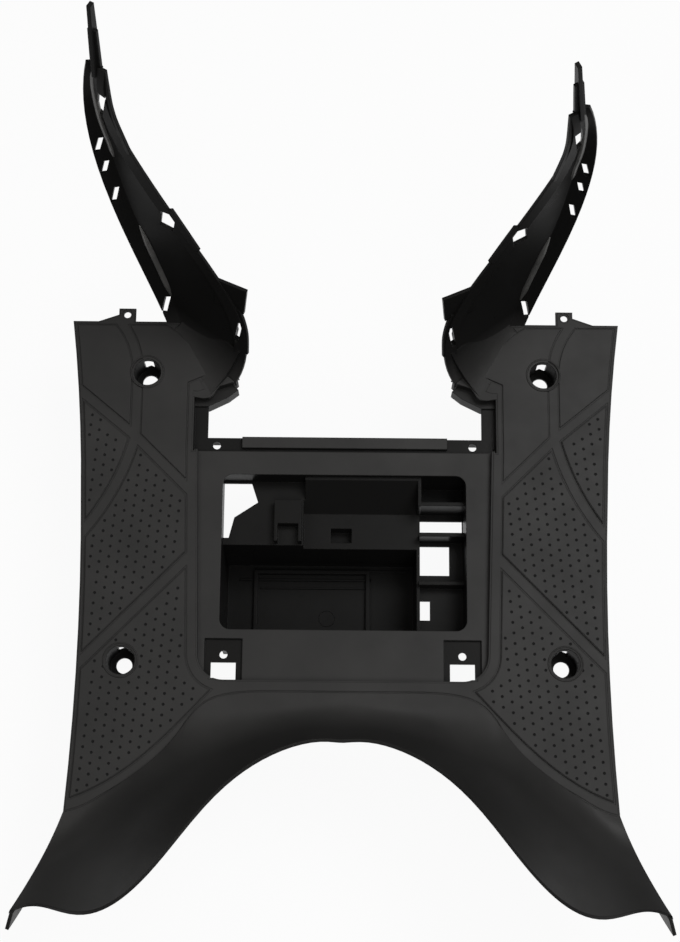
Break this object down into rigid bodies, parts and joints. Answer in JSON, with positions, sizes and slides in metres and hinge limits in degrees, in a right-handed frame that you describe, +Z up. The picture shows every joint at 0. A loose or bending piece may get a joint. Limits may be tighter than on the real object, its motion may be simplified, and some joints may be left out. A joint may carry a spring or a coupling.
{
  "type": "scooter floorboard",
  "caption": "One-piece moulded scooter floor panel with tread pads, a lid seat over a battery tub, a front ramp arched round the steering column and two tall rear arms.",
  "frame": {"origin": "on the battery tub's base, in the panel's middle plane", "axes": "+X to the side that is right in the picture, +Y to the scooter's rear, +Z up"},
  "size_m": [0.4622, 0.5479, 0.4356],
  "materials": {
    "body_plastic": "semi-matte black with a fine moulded grain"
  },
  "bodies": {
    "root": {"floorboard": "body_plastic"}
  },
  "joints": []
}
